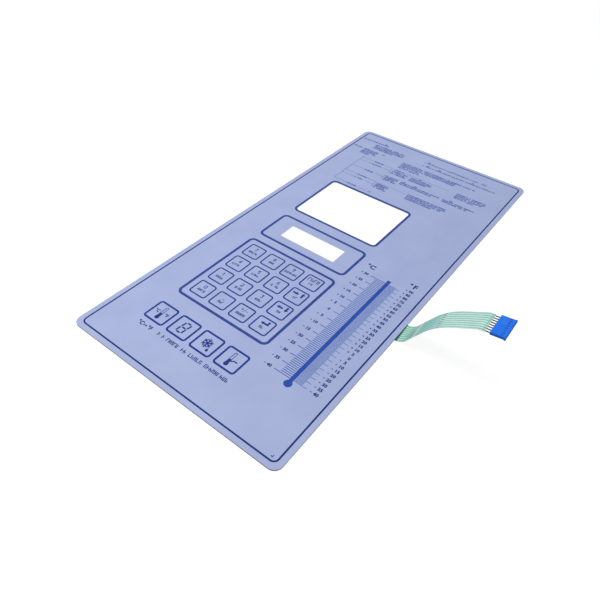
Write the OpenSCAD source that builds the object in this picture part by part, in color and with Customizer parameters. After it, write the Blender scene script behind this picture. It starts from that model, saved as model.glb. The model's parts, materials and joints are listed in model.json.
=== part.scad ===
// Membrane keypad panel: a laminated sheet of printed film with sixteen keys, four function keys,
// two clear display windows and a temperature scale. The lower circuit film runs on as a flat tail
// that curves up to a crimped pin socket. X runs left to right, Y up the panel and Z out of its face.
// The origin is the middle of the rear face.

/* [Panel] */
// Width of the panel, left to right
panel_w = 200; // [190:1:240]
// Height of the panel, bottom to top
panel_h = 422; // [412:1:480]
// Radius of the panel's corners
panel_corner_r = 7; // [2:0.5:12]

/* [Layers] */
// Thickness of the paper release liner on the back
liner_t = 0.12; // [0.08:0.01:0.2]
// Thickness of the rear adhesive
rear_adhesive_t = 0.13; // [0.05:0.01:0.25]
// Thickness of the lower circuit film, which is also the tail
circuit_t = 0.15; // [0.1:0.01:0.2]
// Thickness of the printed silver
silver_t = 0.02; // [0.01:0.005:0.04]
// Thickness of the circuit spacer
spacer_t = 0.2; // [0.12:0.01:0.3]
// Thickness of the upper circuit film
upper_t = 0.13; // [0.08:0.01:0.2]
// Thickness of the overlay adhesive
overlay_adhesive_t = 0.13; // [0.05:0.01:0.25]
// Thickness of the clear overlay film
overlay_t = 0.2; // [0.12:0.01:0.3]
// Thickness of the background ink
field_ink_t = 0.03; // [0.02:0.005:0.05]
// Thickness of the line inks
line_ink_t = 0.03; // [0.02:0.005:0.05]
// How far the hidden layers stand back from the edge of a window
window_step = 1; // [0.5:0.1:2]

/* [Border] */
// Distance from the panel's edge to the middle of the border line
border_inset = 5; // [4:0.25:8]
// Width of the border line
border_line_w = 1.3; // [0.6:0.1:2]
// Radius of the border line's corners
border_r = 4; // [2:0.25:7]

/* [Frames] */
// Distance from the panel's left edge to the middle of the frames' left lines
column_x = 35.2; // [26:0.2:40]
// Distance from the panel's bottom edge to the middle of the function keys' lower line
column_y = 39.4; // [30:0.2:44]
// Width of the frames' lines
frame_line_w = 2.5; // [1.2:0.1:3]
// Radius of the frames' corners
frame_r = 4.4; // [2:0.2:6]
// Height of the readout frame, middle to middle of its lines
readout_frame_h = 38.6; // [32:0.2:42]
// Height of the display frame, middle to middle of its lines
display_frame_h = 69.8; // [50:0.2:72]
// Gap from the function keys to the keypad frame
function_gap = 16.4; // [8:0.2:20]
// Gap from the keypad frame to the readout frame
readout_gap = 10.2; // [7:0.2:14]
// Gap from the readout frame to the display frame
display_gap = 13.3; // [7:0.2:16]
// Width of the readout window
readout_w = 59.2; // [40:0.2:70]
// Height of the readout window
readout_h = 19.4; // [12:0.2:24]

/* [Keys] */
// Outer size of a key's outline
key_size = 17.3; // [15:0.2:19]
// Distance from key to key
key_pitch = 21.3; // [20:0.1:22]
// Gap between the outer keys and the middle of the keypad frame's lines
key_margin = 5.75; // [4:0.1:8]
// Line width of the key outlines
key_line_w = 1.3; // [0.4:0.1:1.6]
// Corner radius of the key outlines
key_r = 2; // [1:0.1:4]
// Size of a function key, middle to middle of its lines
function_size = 19.1; // [16:0.1:20]
// Line width of the function keys
function_line_w = 1.7; // [0.6:0.1:2]
// Height of a key's digit
digit_h = 3.8; // [3:0.1:5]
// Line width of the digits
digit_line_w = 0.65; // [0.3:0.05:0.7]
// Thickness of the arrows on the right-hand keys
arrow_w = 1.7; // [1:0.1:1.9]
// Distance of a digit over the middle of its key
digit_lift = 3.1; // [2:0.1:3.4]

/* [Scale] */
// Distance from the panel's right edge to the middle of the temperature bar
bar_inset = 37; // [34:0.2:42]
// Width of the temperature bar
bar_w = 3.4; // [2:0.1:4]
// Radius of the bulb at the foot of the bar
bulb_r = 3.3; // [3:0.1:5]
// Distance from the panel's bottom edge to the middle of the bulb
bulb_y = 58.2; // [50:0.2:70]
// Distance from the middle of the bulb to the lowest mark
first_mark = 4.5; // [4:0.1:8]
// Distance between marks one degree Celsius apart
celsius_step = 1.87; // [1.5:0.01:2]
// Number of degrees Celsius on the scale
celsius_span = 70; // [50:5:80]
// Line width of the Celsius marks on the left
celsius_mark_w = 0.6; // [0.3:0.05:0.8]
// Line width of the Fahrenheit marks on the right
fahrenheit_mark_w = 0.4; // [0.2:0.05:0.5]
// Length of a short mark on the left side
left_mark = 9.2; // [5:0.1:10]
// Length of a long mark on the left side
left_long_mark = 14.2; // [11:0.1:15]
// Length of a short mark on the right side
right_mark = 7; // [4:0.1:8]
// Length of a long mark on the right side
right_long_mark = 11.2; // [9:0.1:12]

/* [Menu tree] */
// Distance from the panel's left edge to the trunk of the menu tree
tree_x = 30.4; // [14:0.2:34]
// Distance from the display frame to the lowest branch
tree_gap = 6.2; // [4:0.2:8]
// Height of the menu tree from its lowest branch to its highest
tree_h = 57.4; // [40:0.2:60]
// Length of the trunk over the highest branch
tree_lead = 2.6; // [0:0.2:4]
// Length of a branch, from the trunk to its label
tree_branch_l = 15.6; // [10:0.2:18]
// Length of a branch from its label to its bracket
tree_link_l = 10; // [6:0.2:12]
// Height of a bracket
bracket_h = 8; // [5:0.2:9]
// Line width of the menu tree
tree_line_w = 0.35; // [0.2:0.05:0.6]
// Width left clear for a branch's label
tree_label_w = 14; // [8:0.5:18]

/* [Circuits] */
// Diameter of the spacer's hole over each key
switch_d = 12.5; // [9:0.1:13.5]
// Diameter of a silver switch pad
pad_d = 10; // [6:0.1:8.9]
// Width of a silver line inside the panel
trace_w = 1.2; // [0.6:0.1:1.6]
// Distance between neighbouring silver lines inside the panel
trace_pitch = 3; // [2.4:0.1:3.2]
// Width of the spacer's air channels
vent_w = 1.6; // [0.8:0.1:2.4]
// Diameter of the silver posts that join the two films' lines
post_d = 1.6; // [1.2:0.1:2]
// Clearance of a post in its hole in the spacer, all round
post_clearance = 0.3; // [0.2:0.05:0.5]

/* [Tail] */
// Distance from the panel's bottom edge to the middle of the tail
tail_y = 153.1; // [140:0.1:160]
// Bare film outside the outer contacts' pitch, on each side of the tail
tail_margin = 0.2; // [0.1:0.05:1.5]
// Width of a silver line on the tail
conductor_w = 1; // [0.8:0.1:1.2]
// Length of the first curve, just outside the panel
lift_curve = 3.6; // [3:0.1:8]
// Angle that the first curve lifts the tail
lift_angle = 25; // [10:1:34]
// Length of the second curve
crease_curve = 7; // [4:0.5:9]
// Angle that the second curve adds
crease_angle = 32.5; // [14:0.5:34]
// Length of the straight stretch above the curves
rise_l = 19.2; // [10:0.2:22]
// Length of the long curve at the top of the rise
arch_l = 27.2; // [20:0.2:36]
// Angle that the long curve takes back
arch_angle = 27; // [20:0.5:32]
// Length of the straight stretch after the long curve
run_l = 16.8; // [8:0.2:24]
// Length of the last curve before the contacts
level_l = 3; // [2.5:0.5:8]
// Angle that the tail still rises at its end
end_angle = 8; // [2:0.5:12]

/* [Connector] */
// Distance from contact to contact
contact_pitch = 2.54; // [2.5:0.01:2.54]
// Length of film that a contact's crimp holds
crimp_l = 2.2; // [2:0.1:3]
// Width of a contact's crimp
crimp_w = 1.7; // [1.5:0.05:1.9]
// Thickness of the contact strip
strip_t = 0.2; // [0.15:0.01:0.25]
// Length of contact that shows between the film and the housing
neck_l = 3.4; // [1.5:0.1:4]
// Width of a contact's neck
neck_w = 1.1; // [0.6:0.05:1.2]
// Length of the housing
housing_l = 10.7; // [10:0.1:13]
// Height of the housing
housing_h = 2.1; // [2:0.1:3.6]
// Thickness of the housing's walls between and outside its cavities
housing_wall = 0.5; // [0.4:0.05:0.6]
// Thickness of the housing's front wall, which the pins pass
front_wall = 1; // [0.8:0.1:1.5]
// Width and height of a contact's spring box
box_w = 1.6; // [1.4:0.05:1.75]
// Height of a contact's spring box
box_h = 1.3; // [1.2:0.05:1.4]
// Length of a contact's spring box
box_l = 6.4; // [5:0.1:7]
// Side of the square hole that a pin enters
pin_hole = 0.9; // [0.75:0.05:0.95]
// Clearance of a contact in its cavity, on each side
cavity_clearance = 0.1; // [0.05:0.01:0.15]
// Clearance of a crimp's tines in the film's slots, on each side
slot_clearance = 0.05; // [0.03:0.01:0.1]
// Clearance of a crimp's curls over their silver line
curl_clearance = 0.01; // [0.005:0.005:0.02]
// Length of a latch window in the housing's top
latch_l = 1.5; // [1:0.1:2]
// Distance from the front of the housing to its latch windows
latch_inset = 2.4; // [2:0.1:3]
// Length of the lip at the housing's front
lip_l = 1.1; // [0.8:0.1:2]
// Distance that the lip stands out at each side
lip_out = 0.5; // [0.2:0.1:0.8]
// Depth of the notch over each pin hole
notch_depth = 0.3; // [0.15:0.05:0.4]

/* [Hidden] */
// Keys in each row and in each column, and contacts in the connector: one for each row and column line
key_grid = 4;
contacts = 2 * key_grid;

$fn = 48;

// Heights of the layers' rear faces
rear_adhesive_z = liner_t;
circuit_z = rear_adhesive_z + rear_adhesive_t;
lower_silver_z = circuit_z + circuit_t;
spacer_z = lower_silver_z + silver_t;
upper_silver_z = spacer_z + spacer_t;
upper_z = upper_silver_z + silver_t;
overlay_adhesive_z = upper_z + upper_t;
overlay_z = overlay_adhesive_z + overlay_adhesive_t;
field_ink_z = overlay_z + overlay_t;
line_ink_z = field_ink_z + field_ink_t;

// Left and bottom edges of the panel, from which the print is measured
left = -panel_w / 2;
bottom = -panel_h / 2;

// The keypad frame and the frames above it, measured to the middle of their lines
column_left = left + column_x;
column_w = (key_grid - 1) * key_pitch + key_size + 2 * key_margin;
function_bottom = bottom + column_y;
keypad_bottom = function_bottom + function_size + function_gap;
readout_bottom = keypad_bottom + column_w + readout_gap;
display_bottom = readout_bottom + readout_frame_h + display_gap;
display_top = display_bottom + display_frame_h;
function_pitch = (column_w - function_size) / 3;

// Middles of the keys, the function keys and the windows
key_x = [for (i = [0 : key_grid - 1]) column_left + key_margin + key_size / 2 + i * key_pitch];
key_y = [for (i = [0 : key_grid - 1]) keypad_bottom + key_margin + key_size / 2 + i * key_pitch];
function_x = [for (i = [0 : 3]) column_left + function_size / 2 + i * function_pitch];
function_y = function_bottom + function_size / 2;
column_mid = column_left + column_w / 2;
readout_mid = readout_bottom + readout_frame_h / 2;
display_mid = display_bottom + display_frame_h / 2;
display_w = column_w - frame_line_w;
display_h = display_frame_h - frame_line_w;

// The temperature scale
bar_x = panel_w / 2 - bar_inset;
bulb_mid = bottom + bulb_y;
mark_y = bulb_mid + first_mark;
fahrenheit_step = celsius_step / 1.8;
fahrenheit_span = floor(celsius_span * 1.8);
bar_top = mark_y + celsius_span * celsius_step + 4.6;
mark_gap = bar_w / 2 + 0.2;

// The tail's centre line, as stretches of a length and the angle that each turns through
tail_w = contacts * contact_pitch + 2 * tail_margin;
tail_mid = bottom + tail_y;
film_mid_z = circuit_z + circuit_t / 2;
tail_root = 6;
tail_bends = [[tail_root, 0], [lift_curve, lift_angle], [crease_curve, crease_angle], [rise_l, 0],
              [arch_l, -arch_angle], [run_l, 0],
              [level_l, end_angle + arch_angle - crease_angle - lift_angle], [crimp_l + 0.6, 0]];
bend_step = 3;

// Steps that a stretch is cut into, one for each bend_step degrees
function steps(bend) = max(1, ceil(abs(bend[1]) / bend_step));
// Short straight runs of a length and a heading, for all the stretches in turn
function runs(bends, heading = 0, i = 0) =
    i == len(bends) ? [] :
    let (n = steps(bends[i]), turn = bends[i][1] / n, l = bends[i][0] / n)
    concat([for (k = [0 : n - 1]) [l, heading + (k + 0.5) * turn]],
           runs(bends, heading + bends[i][1], i + 1));
// Points reached by following the runs from a start
function walk(r, p, i = 0) =
    i == len(r) ? [p] :
    concat([p], walk(r, p + r[i][0] * [cos(r[i][1]), sin(r[i][1])], i + 1));

tail_runs = runs(tail_bends);
wire_end = panel_w / 2 - tail_root - trace_w / 2;
tail_line = walk(tail_runs, [panel_w / 2 - tail_root, film_mid_z]);
tail_end = tail_line[len(tail_line) - 1];

// Silver lines that run up the panel beside the keys, and where those of the function keys turn
row_bus = [for (i = [0 : key_grid - 1]) column_left + column_w + 8 + (key_grid - 1 - i) * trace_pitch];
column_bus = [for (i = [0 : key_grid - 1]) panel_w / 2 - 12 - i * trace_pitch];
column_top = [for (i = [0 : key_grid - 1])
    keypad_bottom + column_w + 1.6 + (key_grid - 1 - i) * (readout_gap - 3) / key_grid];
function_run = [function_y, function_y - pad_d / 2 - 2 * trace_pitch,
                function_y - pad_d / 2 - trace_pitch, function_y];
return_x = key_x[0] - pad_d / 2 - 2 * trace_pitch;

// Places its child at every post that joins a line of the lower film to one of the upper film
module at_posts() {
    for (i = [0 : key_grid - 1]) translate([column_bus[i], wire_y(contacts - i)]) children();
    for (i = [1 : 3]) translate([row_bus[i], key_y[i]]) children();
}

// Heading of a line at one of its points
function heading(p, i) =
    let (step = p[min(i + 1, len(p) - 1)] - p[max(i - 1, 0)]) atan2(step[1], step[0]);
// A line moved sideways by a distance
function beside(p, d) =
    [for (i = [0 : len(p) - 1]) p[i] + d * [-sin(heading(p, i)), cos(heading(p, i))]];
function reversed(list) = [for (i = [len(list) - 1 : -1 : 0]) list[i]];
// Outline of a band between two distances beside a line
function band(p, low, high) = concat(beside(p, low), reversed(beside(p, high)));
// Points round an arc
function arc(c, r, from, to) =
    [for (k = [0 : 12]) c + r * [cos(from + (to - from) * k / 12), sin(from + (to - from) * k / 12)]];
// Position of a contact along the panel, counted from the tail's lower side
function contact_y(i) = (i - (contacts + 1) / 2) * contact_pitch;
function wire_y(i) = tail_mid + contact_y(i);

// Sheet outlines

// Rectangle with round corners, centred on the origin
module rounded_rect(w, h, r) {
    square([w - 2 * r, h], center = true);
    square([w, h - 2 * r], center = true);
    for (x = [-1, 1], y = [-1, 1]) translate([x * (w / 2 - r), y * (h / 2 - r)]) circle(r);
}

// Line of a given width round a rectangle whose size and radius are to the line's middle
module ring(w, h, r, line_w) {
    difference() {
        rounded_rect(w + line_w, h + line_w, r + line_w / 2);
        rounded_rect(w - line_w, h - line_w, r - line_w / 2);
    }
}

module panel_outline() {
    rounded_rect(panel_w, panel_h, panel_corner_r);
}

// Both display windows, grown by a step on every side
module windows(step) {
    translate([column_mid, display_mid])
        rounded_rect(display_w + 2 * step, display_h + 2 * step, frame_r - frame_line_w / 2 + step);
    translate([column_mid, readout_mid])
        square([readout_w + 2 * step, readout_h + 2 * step], center = true);
}

// One full layer of the laminate with its window cut-outs
module layer(z, t) {
    translate([0, 0, z]) linear_extrude(t) difference() {
        panel_outline();
        windows(window_step);
    }
}

// Straight line of a given width between two points that share an x or a y
module line(a, b, w) {
    translate([min(a[0], b[0]) - w / 2, min(a[1], b[1]) - w / 2])
        square([abs(a[0] - b[0]) + w, abs(a[1] - b[1]) + w]);
}

// Lines of one width from each point to the next
module route(points, w) {
    for (i = [0 : len(points) - 2]) line(points[i], points[i + 1], w);
}

// Straight stroke of a given width between any two points, with square ends
module stroke(a, b, w) {
    translate(a) rotate(atan2(b[1] - a[1], b[0] - a[0])) translate([-w / 2, -w / 2])
        square([norm(b - a) + w, w]);
}

// Round line of a given width
module loop(r, w) {
    difference() {
        circle(r + w / 2);
        circle(r - w / 2);
    }
}

// Places its child at every key
module at_keys() {
    for (x = key_x, y = key_y) translate([x, y]) children();
}

// Places its child at every function key
module at_function_keys() {
    for (x = function_x) translate([x, function_y]) children();
}

// Laminate

module release_liner() {
    color("ivory") layer(0, liner_t);
}

module rear_adhesive() {
    color("gainsboro") layer(rear_adhesive_z, rear_adhesive_t);
}

// Solid that follows the tail's line between two distances from it, from one side to the other
module tail_band(low, high, from_y, to_y) {
    translate([0, to_y, 0]) rotate([90, 0, 0]) linear_extrude(to_y - from_y)
        polygon(band(tail_line, low, high));
}

// Places its child in the frame of the tail's end: X on along the tail, Z out of its upper face
module at_tail_end() {
    translate([tail_end[0], tail_mid, tail_end[1]]) rotate([0, -end_angle, 0]) children();
}

// Places its child at each of a contact's four tines
module at_tines() {
    for (x = tine_x, side = [-1, 1]) translate([x, side * (crimp_w - strip_t) / 2, 0]) children();
}

module lower_circuit_film() {
    slot = [tine_l + 2 * slot_clearance, strip_t + 2 * slot_clearance, 1];
    color("#A9DCCB") {
        layer(circuit_z, circuit_t);
        difference() {
            tail_band(-circuit_t / 2, circuit_t / 2, tail_mid - tail_w / 2, tail_mid + tail_w / 2);
            at_tail_end() for (i = [1 : contacts]) translate([0, contact_y(i), 0])
                at_tines() cube(slot, center = true);
        }
    }
}

// Silver on the lower film: the row lines with their pads, the posts up to the upper film's lines
// and the eight lines of the tail
module lower_silver_print() {
    color("silver") {
        translate([0, 0, lower_silver_z]) linear_extrude(silver_t) {
            at_keys() circle(d = pad_d);
            at_function_keys() circle(d = pad_d);
            for (i = [0 : key_grid - 1]) {
                route([[key_x[0], key_y[i]], [row_bus[i], key_y[i]], [row_bus[i], wire_y(i + 1)],
                       [wire_end, wire_y(i + 1)]], trace_w);
                line([column_bus[i], wire_y(contacts - i)], [wire_end, wire_y(contacts - i)], trace_w);
            }
            route([[function_x[1], function_y], [row_bus[0], function_y], [row_bus[0], key_y[0]]], trace_w);
            route([[function_x[0], function_y], [return_x, function_y], [return_x, key_y[2]],
                   [key_x[0], key_y[2]]], trace_w);
        }
        translate([0, 0, lower_silver_z]) linear_extrude(upper_silver_z - lower_silver_z)
            at_posts() circle(d = post_d);
        for (i = [1 : contacts]) tail_band(
            circuit_t / 2, circuit_t / 2 + silver_t,
            wire_y(i) - conductor_w / 2, wire_y(i) + conductor_w / 2);
    }
}

module circuit_spacer() {
    color("whitesmoke") translate([0, 0, spacer_z]) linear_extrude(spacer_t) difference() {
        panel_outline();
        windows(window_step);
        at_keys() circle(d = switch_d);
        at_function_keys() circle(d = switch_d);
        at_posts() circle(d = post_d + 2 * post_clearance);
        for (y = key_y) line([key_x[0], y], [key_x[key_grid - 1], y], vent_w);
        line([key_x[0], key_y[0]], [key_x[0], key_y[key_grid - 1]], vent_w);
        line([function_x[0], function_y], [function_x[3], function_y], vent_w);
    }
}

// Silver under the upper film: the column lines led down to the tail, and the lines of three rows
// led to the function keys, each of which joins two rows
module upper_silver_print() {
    color("silver") translate([0, 0, upper_silver_z]) linear_extrude(silver_t) {
        at_keys() circle(d = pad_d);
        at_function_keys() circle(d = pad_d);
        for (i = [0 : key_grid - 1]) route(
            [[key_x[i], key_y[0]], [key_x[i], column_top[i]], [column_bus[i], column_top[i]],
             [column_bus[i], wire_y(contacts - i)]], trace_w);
        line([row_bus[3], function_y], [function_x[3], function_y], trace_w);
        for (i = [1 : 3]) line([row_bus[i], key_y[i]], [row_bus[i], function_run[i]], trace_w);
        for (i = [1, 2]) route([[row_bus[i], function_run[i]], [function_x[i], function_run[i]],
                                [function_x[i], function_y]], trace_w);
        route([[function_x[1], function_run[1]], [function_x[0], function_run[1]],
               [function_x[0], function_y]], trace_w);
    }
}

module upper_circuit_film() {
    color("#C4E4DA") layer(upper_z, upper_t);
}

module overlay_adhesive() {
    color("gainsboro") layer(overlay_adhesive_z, overlay_adhesive_t);
}

module overlay_film() {
    color([0.93, 0.96, 0.98, 0.3]) translate([0, 0, overlay_z]) linear_extrude(overlay_t) panel_outline();
}

// Print on the overlay film

module background_ink() {
    color("#A9B4DC") translate([0, 0, field_ink_z]) linear_extrude(field_ink_t) difference() {
        panel_outline();
        windows(0);
    }
}

// Places a flat shape as line ink
module line_ink() {
    translate([0, 0, line_ink_z]) linear_extrude(line_ink_t) children();
}

module border_ink() {
    color("#2C3A80") line_ink()
        ring(panel_w - 2 * border_inset, panel_h - 2 * border_inset, border_r, border_line_w);
}

// The frames of the display, the readout and the keypad
module frame_ink() {
    color("#2E4FAE") line_ink() {
        translate([column_mid, display_mid]) ring(column_w, display_frame_h, frame_r, frame_line_w);
        translate([column_mid, readout_mid]) ring(column_w, readout_frame_h, frame_r, frame_line_w);
        translate([column_mid, keypad_bottom + column_w / 2])
            ring(column_w, column_w, frame_r, frame_line_w);
    }
}

// The outlines of the sixteen keys and of the four function keys
module key_ink() {
    key_mid = key_size - key_line_w;
    color("#2E4FAE") line_ink() {
        at_keys() ring(key_mid, key_mid, key_r, key_line_w);
        at_function_keys() ring(function_size, function_size, key_r, function_line_w);
    }
}

// Legends of the keys, in their boxes: a digit's box is one high and is scaled to its size

// Straight strokes, full loops and arcs of each digit; the nought is a ring of its own
digit_strokes = [
    [],
    [[[-0.16, 0.3], [0.02, 0.46]], [[0.02, 0.46], [0.02, -0.44]]],
    [[[-0.28, -0.44], [0.28, -0.44]], [[0.21, 0.05], [-0.26, -0.4]]],
    [[[-0.24, 0.44], [0.24, 0.44]], [[0.24, 0.44], [0, 0.08]]],
    [[[0.12, 0.44], [0.12, -0.44]], [[0.12, 0.44], [-0.28, -0.2]], [[-0.28, -0.2], [0.28, -0.2]]],
    [[[-0.2, 0.44], [0.24, 0.44]], [[-0.2, 0.44], [-0.22, 0.02]]],
    [[[-0.22, -0.06], [0.1, 0.44]]],
    [[[-0.26, 0.44], [0.26, 0.44]], [[0.26, 0.44], [-0.08, -0.44]]],
    [],
    [[[0.22, 0.06], [-0.1, -0.44]]]];
digit_loops = [[], [], [], [], [], [], [[-0.19, 0.25]], [], [[-0.19, 0.25], [0.23, 0.21]], [[0.19, 0.25]]];
digit_arcs = [
    [], [],
    [[[0, 0.2], 0.24, 170, -40]],
    [[[0, -0.18], 0.26, 95, -150]],
    [],
    [[[0, -0.17], 0.27, 140, -140]],
    [], [], [], []];

module digit(n) {
    if (n == 0) ring(0.5 * digit_h, 0.88 * digit_h, 0.22 * digit_h, digit_line_w);
    for (b = digit_strokes[n]) stroke(b[0] * digit_h, b[1] * digit_h, digit_line_w);
    for (l = digit_loops[n]) translate([0, l[0] * digit_h]) loop(l[1] * digit_h, digit_line_w);
    for (a = digit_arcs[n])
        polygon(band(arc(a[0] * digit_h, a[1] * digit_h, a[2], a[3]), -digit_line_w / 2, digit_line_w / 2));
}

// Arrow that points right, from its shaft's end to its tip
module arrow(l) {
    translate([0, -arrow_w / 2]) square([l - 2.2, arrow_w]);
    polygon([[l - 2.6, -1.1 * arrow_w], [l, 0], [l - 2.6, 1.1 * arrow_w]]);
}

// Thermometer with an open stem over a full bulb, its fluid up to the middle
module thermometer() {
    difference() {
        translate([0, 2.2]) ring(2, 9.4, 0.9, 0.55);
        translate([0, -2.4]) square([5, 5], center = true);
    }
    translate([0, -2.6]) square([2.9, 5.4], center = true);
    translate([0, -5]) circle(1.95);
}

// Corners of a bar of a display digit, which leans to the right
function leaning_bar(x, y, w, h) =
    [for (c = [[-w, -h], [w, -h], [w, h], [-w, h]] / 2) [x + c[0] + 0.13 * (y + c[1]), y + c[1]]];

// Seven bars of a display digit
module seven_bars() {
    for (y = [-5.4, 0, 5.4]) polygon(leaning_bar(0, y, 3.4, 1.4));
    for (x = [-2.8, 2.8], y = [-2.75, 2.75]) polygon(leaning_bar(x, y, 1.4, 4.5));
}

// Snowflake of six arms with a falling drop
module snowflake() {
    for (turn = [0, 60, 120]) rotate(turn) square([1.1, 9.6], center = true);
    for (turn = [0 : 60 : 300]) rotate(turn) {
        stroke([0, 2.1], [1.4, 3.4], 0.8);
        stroke([0, 2.1], [-1.4, 3.4], 0.8);
    }
    translate([4.2, -5.6]) circle(1.2);
    polygon([[3.1, -5.2], [4, -3.2], [4.9, -4.6]]);
}

// One row of marks up the scale, from x to x + l, with every fifth mark long
module marks(count, step, w, side, l, long) {
    for (i = [0 : count]) translate([
        bar_x + (side > 0 ? mark_gap : -mark_gap - (i % 5 == 0 ? long : l)),
        mark_y + i * step - w / 2])
        square([i % 5 == 0 ? long : l, w]);
}

// The digits, the point and the plus and minus of the number keys, the arrows of the right-hand
// keys, the symbols of the function keys and the marks of the scale
module legend_ink() {
    color("#2C3A80") line_ink() {
        for (row = [1 : 3], i = [0 : 2])
            translate([key_x[i], key_y[row] + digit_lift]) digit(3 * row - 2 + i);
        translate([key_x[0], key_y[0] + digit_lift]) digit(0);
        translate([key_x[1], key_y[0] + 1.2]) circle(0.5);
        translate([key_x[2], key_y[0] + digit_lift]) {
            translate([-2.3, 0.4]) square([2.4, 0.5], center = true);
            translate([-2.3, 0.4]) square([0.5, 2.4], center = true);
            stroke([-0.6, -1.6], [0.6, 1.9], 0.45);
            translate([2.2, 0]) square([2, 0.5], center = true);
        }
        translate([key_x[3], key_y[0] + digit_lift]) {
            translate([2, -0.6]) rotate(180) arrow(5.7);
            translate([2, -0.6 - arrow_w / 2]) square([arrow_w, 4.4]);
        }
        for (row = [1, 2]) translate([key_x[3], key_y[row] + digit_lift]) {
            translate([row == 2 ? -5.5 : 0.3, 0]) rotate(row == 2 ? 0 : 180) arrow(5.8);
            translate([3.8, row == 2 ? -2.5 : 3.4]) rotate(row == 2 ? 90 : -90) arrow(5.9);
        }
        translate([function_x[0], function_y]) thermometer();
        translate([function_x[1], function_y]) seven_bars();
        translate([function_x[2], function_y + 0.4]) snowflake();
        translate([function_x[3] - 1, function_y]) {
            thermometer();
            stroke([2, -1.4], [3.4, 0], 1);
            stroke([3.4, 0], [6.1, 0], 1);
        }
        marks(celsius_span, celsius_step, celsius_mark_w, -1, left_mark, left_long_mark);
        marks(fahrenheit_span, fahrenheit_step, fahrenheit_mark_w, 1, right_mark, right_long_mark);
    }
}

// The bar and the bulb of the temperature scale
module scale_ink() {
    color("#2B50B4") line_ink() {
        translate([bar_x, bulb_mid]) circle(bulb_r);
        translate([bar_x - bar_w / 2, bulb_mid]) square([bar_w, bar_top - bulb_mid]);
    }
}

// Heights of the menu tree's branches over its foot, and those that end in a bracket
tree_rises = tree_h * [0, 0.27, 0.38, 0.62, 0.895, 1];
bracket_rises = tree_h * [0.27, 0.62, 0.895];
trunk_x = left + tree_x;
tree_foot = display_top + tree_gap;
tree_label_x = trunk_x + tree_branch_l;
bracket_x = tree_label_x + tree_label_w + tree_link_l;

// The trunk, branches and brackets of the menu tree
module menu_ink() {
    color("#3C4A92") line_ink() {
        line([trunk_x, tree_foot], [trunk_x, tree_foot + tree_h + tree_lead], tree_line_w);
        for (rise = tree_rises) {
            line([trunk_x, tree_foot + rise], [tree_label_x, tree_foot + rise], tree_line_w);
            line([bracket_x - tree_link_l, tree_foot + rise], [bracket_x, tree_foot + rise], tree_line_w);
        }
        for (rise = bracket_rises) route(
            [for (c = [[0.2, -0.5], [0, -0.5], [0, 0.5], [0.2, 0.5]])
                [bracket_x + c[0] * bracket_h, tree_foot + rise + c[1] * bracket_h]],
            tree_line_w);
    }
}

// Connector, drawn in the frame of the tail's end

cavity_w = box_w + 2 * cavity_clearance;
cavity_h = box_h + 2 * cavity_clearance;
housing_w = (contacts - 1) * contact_pitch + cavity_w + 2 * housing_wall;
housing_front = neck_l + housing_l;
box_start = housing_front - front_wall - cavity_clearance - box_l;
crimp_start = -crimp_l - 0.3;
tine_l = crimp_l / 2 - 0.3;
tine_x = [crimp_start + crimp_l / 4, crimp_start + 3 * crimp_l / 4];
plate_z = -circuit_t / 2 - strip_t;
box_mid_z = plate_z + box_h / 2;
curl_z = circuit_t / 2 + silver_t + curl_clearance;

module connector_housing() {
    latch_start = housing_front - latch_inset - latch_l;
    color("#2E74F0") at_tail_end() translate([0, 0, box_mid_z]) difference() {
        union() {
            translate([neck_l, -housing_w / 2, -housing_h / 2]) cube([housing_l, housing_w, housing_h]);
            translate([housing_front - lip_l, -housing_w / 2 - lip_out, -housing_h / 2])
                cube([lip_l, housing_w + 2 * lip_out, housing_h]);
        }
        for (i = [1 : contacts]) translate([0, contact_y(i), 0]) {
            translate([neck_l - 1, -cavity_w / 2, -cavity_h / 2])
                cube([housing_l - front_wall + 1, cavity_w, cavity_h]);
            translate([neck_l, -pin_hole / 2, -pin_hole / 2]) cube([housing_l + 1, pin_hole, pin_hole]);
            translate([housing_front - 0.3, -cavity_w / 2, -cavity_h / 2]) cube([1, cavity_w, cavity_h]);
            translate([housing_front - front_wall + 0.1, -pin_hole / 2, housing_h / 2 - notch_depth])
                cube([front_wall, pin_hole, housing_h]);
            translate([latch_start, -cavity_w / 2, 0]) cube([latch_l, cavity_w, housing_h]);
        }
    }
}

// One contact: a crimp whose tines pass through the film and curl over its silver line, a neck,
// and a spring box with the tang that latches it in the housing
module contact(i) {
    color("#8A8C90") at_tail_end() translate([0, contact_y(i), 0]) {
        translate([crimp_start, -crimp_w / 2, plate_z]) cube([crimp_l, crimp_w, strip_t]);
        at_tines() translate([-tine_l / 2, -strip_t / 2, plate_z])
            cube([tine_l, strip_t, curl_z - plate_z]);
        for (x = tine_x, side = [-1, 1]) translate([x, side * (crimp_w / 4 + 0.03), curl_z + strip_t / 2])
            cube([tine_l, crimp_w / 2 - 0.06, strip_t], center = true);
        translate([-0.4, -neck_w / 2, plate_z]) cube([box_start + 0.7, neck_w, strip_t]);
        difference() {
            translate([box_start, -box_w / 2, plate_z]) cube([box_l, box_w, box_h]);
            translate([box_start + 0.3, -pin_hole / 2, box_mid_z - pin_hole / 2])
                cube([box_l, pin_hole, pin_hole]);
        }
        translate([housing_front - latch_inset - latch_l + 0.2, -neck_w / 2, plate_z + box_h])
            cube([latch_l / 2, neck_w, (housing_h - box_h) / 2 - 0.2]);
    }
}

release_liner();
rear_adhesive();
lower_circuit_film();
lower_silver_print();
circuit_spacer();
upper_silver_print();
upper_circuit_film();
overlay_adhesive();
overlay_film();
background_ink();
border_ink();
frame_ink();
key_ink();
legend_ink();
scale_ink();
menu_ink();
connector_housing();
for (i = [1 : contacts]) contact(i);
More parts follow.
